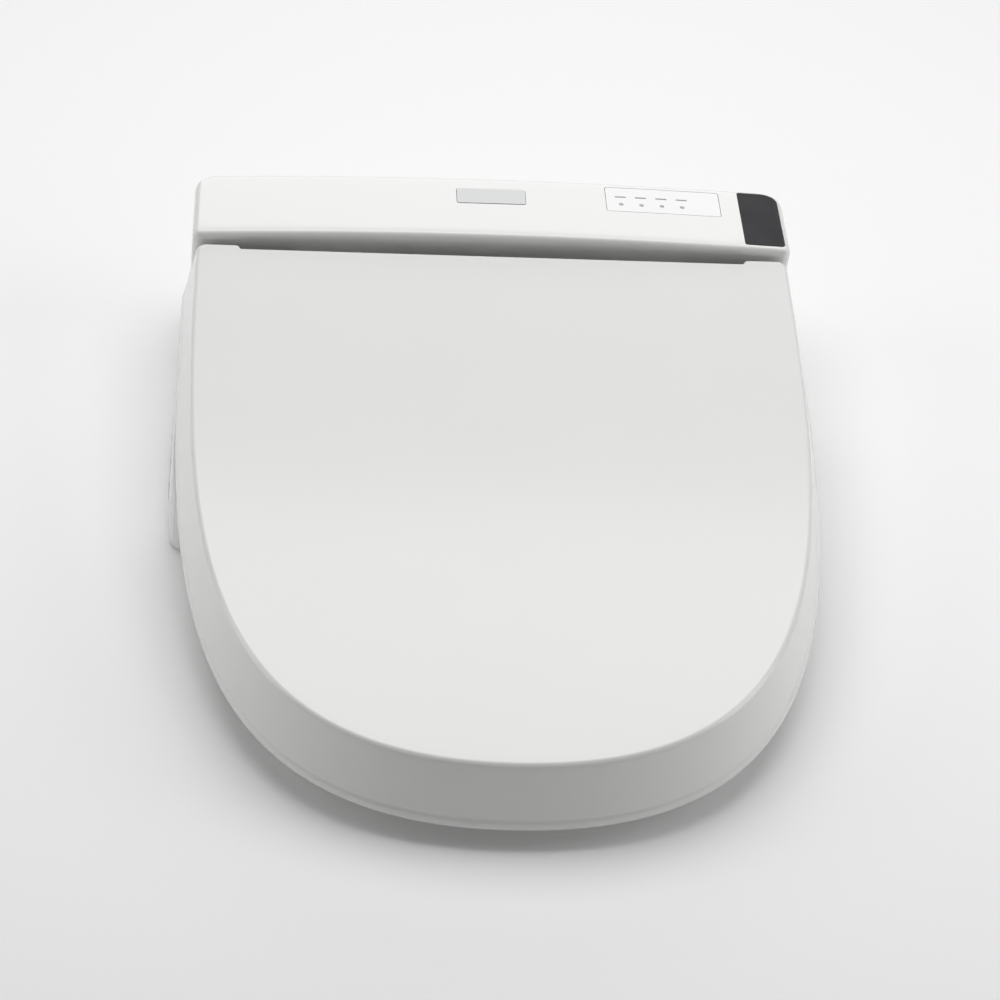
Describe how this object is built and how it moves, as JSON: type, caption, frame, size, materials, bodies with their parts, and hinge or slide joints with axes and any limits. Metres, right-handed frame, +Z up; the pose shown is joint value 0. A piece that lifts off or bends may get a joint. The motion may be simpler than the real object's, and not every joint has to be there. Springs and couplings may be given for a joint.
{
  "type": "electric bidet seat",
  "caption": "Electric bidet toilet seat: D-shaped hinged lid and seat ring on a rear unit with a sliding wash wand, heated tank, warm-air dryer and side push-buttons.",
  "frame": {"origin": "midway between the two bowl bolts, on the plane of the bowl's rim", "axes": "+Z up, -Y towards the sitter's knees at the front, +X to the right as seen from the front"},
  "size_m": [0.3909, 0.5135, 0.1077],
  "materials": {
    "shell": "glossy white moulded plastic",
    "seat": "glossy warm-white moulded plastic",
    "inner_plastic": "satin light grey plastic",
    "badge": "brushed silver, blank",
    "clear_cover": "frosted translucent white",
    "dark_window": "smoked, infrared-clear",
    "steel": "stainless steel",
    "motor": "plated steel can",
    "rubber": "soft grey rubber",
    "black_plastic": "black moulded plastic",
    "circuit": "green circuit board",
    "heater": "copper heating elements"
  },
  "bodies": {
    "main_unit": {"rear_housing": "shell", "badge_plate": "badge", "indicator_window": "clear_cover", "receiver_window": "dark_window", "indicator_board": "circuit", "front_cover": "shell", "wand_motor": "motor", "wand_guide": "inner_plastic", "dryer_duct": "inner_plastic", "dryer_heater": "heater", "base_tray": "inner_plastic", "base_pad_left": "rubber", "base_pad_right": "rubber", "side_wing": "shell", "wing_switch_board": "circuit", "lid_damper": "black_plastic", "seat_damper": "black_plastic", "water_tank": "inner_plastic", "tank_lid": "inner_plastic", "tank_heater": "heater", "water_inlet": "steel", "solenoid_valve": "black_plastic", "flow_selector": "inner_plastic", "dryer_blower": "inner_plastic", "deodoriser_case": "inner_plastic", "control_board": "circuit", "power_board": "circuit", "power_cable_gland": "black_plastic", "cover_screw_left": "steel", "cover_screw_right": "steel", "release_spring": "steel"},
    "seat": {"seat_top": "seat", "seat_bottom": "seat", "seat_heater": "heater", "seat_bumper_rear_left": "rubber", "seat_bumper_rear_right": "rubber", "seat_bumper_front_left": "rubber", "seat_bumper_front_right": "rubber", "seat_hinge_pin": "steel"},
    "lid": {"lid_cover": "shell", "lid_liner": "shell", "lid_bumper_left": "rubber", "lid_bumper_right": "rubber", "lid_hinge_pin": "steel"},
    "wand": {"wand_tube": "steel", "nozzle_tip": "inner_plastic", "wand_rack": "inner_plastic"},
    "pinion": {"drive_pinion": "inner_plastic"},
    "shutter": {"nozzle_shutter": "shell"},
    "dryer_flap": {"dryer_flap": "shell"},
    "plate": {"mounting_plate": "black_plastic"},
    "release": {"release_button": "shell", "release_bar": "steel"},
    "rear_wash_button": {"button_rear_wash": "clear_cover"},
    "front_wash_button": {"button_front_wash": "clear_cover"},
    "stop_button": {"button_stop": "clear_cover"},
    "drain_plug": {"drain_plug": "inner_plastic"},
    "dryer_rotor": {"dryer_rotor": "black_plastic"},
    "deodoriser_fan": {"deodoriser_fan": "black_plastic"},
    "filter": {"deodoriser_filter": "black_plastic"}
  },
  "joints": [
    {"name": "seat_hinge", "type": "hinge", "parent": "main_unit", "child": "seat", "pos_m": [0, -0.041, 0.084], "axis": [-1, 0, 0], "range_deg": [0, 95]},
    {"name": "lid_hinge", "type": "hinge", "parent": "seat", "child": "lid", "pos_m": [0, -0.041, 0.084], "axis": [1, 0, 0], "range_deg": [-100, 0]},
    {"name": "wand_slide", "type": "slide", "parent": "main_unit", "child": "wand", "axis": [0, -0.9336, -0.3584], "range_m": [0, 0.105]},
    {"name": "pinion_spin", "type": "hinge", "parent": "main_unit", "child": "pinion", "pos_m": [0, -0.06219, 0.02313], "axis": [1, 0, 0], "range_deg": [-5, 810]},
    {"name": "shutter_hinge", "type": "hinge", "parent": "main_unit", "child": "shutter", "pos_m": [0, -0.1419, 0.02456], "axis": [-1, 0, 0], "range_deg": [0, 148]},
    {"name": "dryer_flap_hinge", "type": "hinge", "parent": "main_unit", "child": "dryer_flap", "pos_m": [0.057, -0.14243, 0.02596], "axis": [-1, 0, 0], "range_deg": [0, 60], "stiffness_Nm_per_rad": 0.002, "springref_deg": -20.05},
    {"name": "plate_slide", "type": "slide", "parent": "main_unit", "child": "plate", "axis": [0, 1, 0], "range_m": [0, 0.08]},
    {"name": "release_slide", "type": "slide", "parent": "main_unit", "child": "release", "axis": [-1, 0, 0], "range_m": [0, 0.004], "stiffness_N_per_m": 500, "springref_m": -0.004, "deforming": ["release_spring"]},
    {"name": "rear_wash_press", "type": "slide", "parent": "main_unit", "child": "rear_wash_button", "axis": [1, 0, 0], "range_m": [0, 0.0012], "stiffness_N_per_m": 600, "springref_m": -0.001},
    {"name": "front_wash_press", "type": "slide", "parent": "main_unit", "child": "front_wash_button", "axis": [1, 0, 0], "range_m": [0, 0.0012], "stiffness_N_per_m": 600, "springref_m": -0.001},
    {"name": "stop_press", "type": "slide", "parent": "main_unit", "child": "stop_button", "axis": [1, 0, 0], "range_m": [0, 0.0012], "stiffness_N_per_m": 600, "springref_m": -0.001},
    {"name": "drain_turn", "type": "hinge", "parent": "main_unit", "child": "drain_plug", "pos_m": [-0.19, 0.014, 0.024], "axis": [-1, 0, 0], "range_deg": [0, 90]},
    {"name": "rotor_spin", "type": "hinge", "parent": "main_unit", "child": "dryer_rotor", "pos_m": [0.079, 0.007, 0.044], "axis": [1, 0, 0], "continuous": true},
    {"name": "fan_spin", "type": "hinge", "parent": "main_unit", "child": "deodoriser_fan", "pos_m": [0.1195, 0.007, 0.06], "axis": [1, 0, 0], "continuous": true},
    {"name": "filter_slide", "type": "slide", "parent": "main_unit", "child": "filter", "axis": [1, 0, 0], "range_m": [0, 0.07]}
  ],
  "couplings": [
    {"joint": "pinion_spin", "follows": "wand_slide", "rad_per_m": 133.33},
    {"joint": "shutter_hinge", "follows": "wand_slide", "rad_per_m": 24.43}
  ]
}
